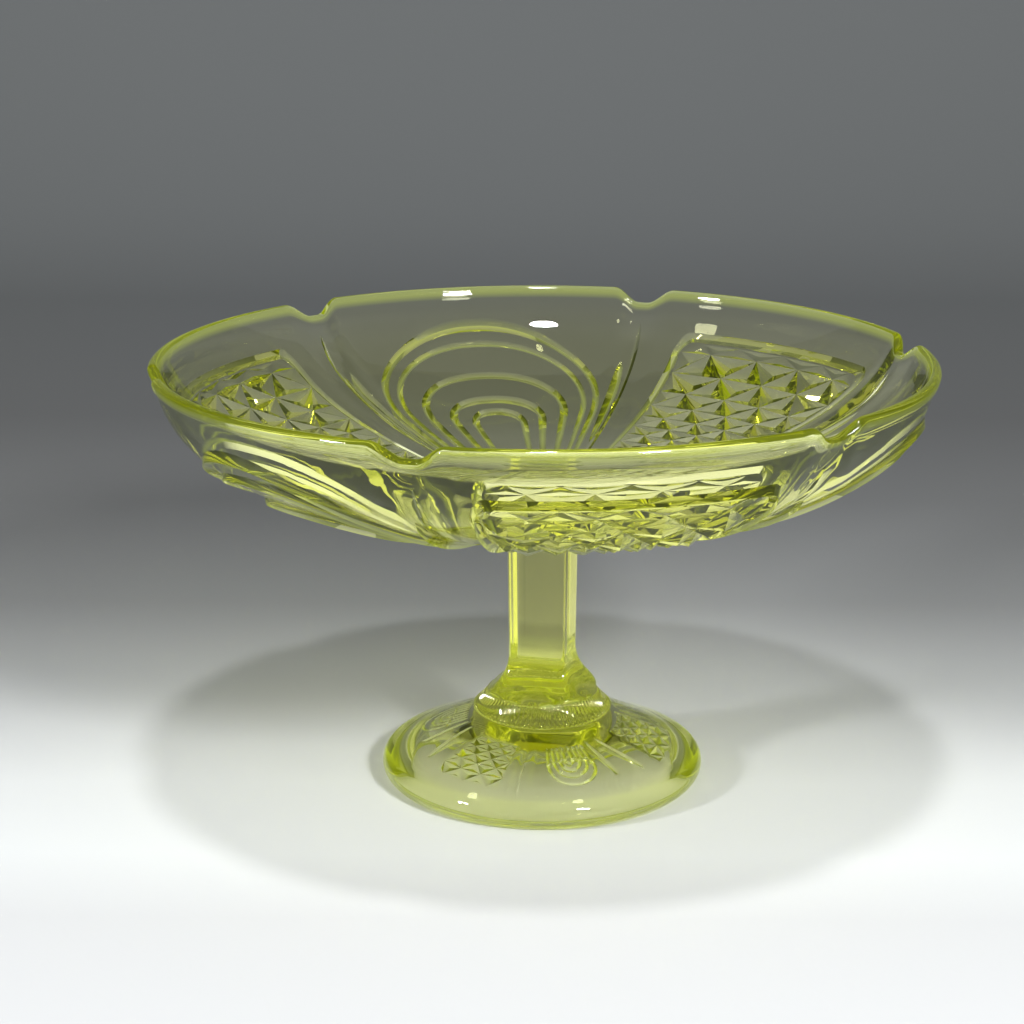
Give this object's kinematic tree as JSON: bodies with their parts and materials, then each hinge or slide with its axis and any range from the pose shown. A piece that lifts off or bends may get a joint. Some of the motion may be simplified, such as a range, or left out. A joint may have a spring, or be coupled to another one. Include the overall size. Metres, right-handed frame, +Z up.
{
  "type": "pressed glass footed comport",
  "caption": "Shallow lobed glass dish with a moulded pattern of studs and arches, raised on a square stem and a wide domed foot, to hold fruit or sweets.",
  "frame": {"origin": "centre of the flat ring the foot stands on, at table level", "axes": "+Z up along the stem; -Y towards the viewer of the reference view; +X to the viewer's right"},
  "size_m": [0.22, 0.22, 0.125],
  "materials": {
    "bowl_glass": "clear yellow-green pressed glass, gloss",
    "stem_glass": "clear yellow-green pressed glass, gloss",
    "foot_glass": "clear yellow-green pressed glass, gloss"
  },
  "bodies": {
    "root": {"bowl": "bowl_glass", "joining_wafer": "stem_glass", "stem": "stem_glass", "foot": "foot_glass"}
  },
  "joints": []
}
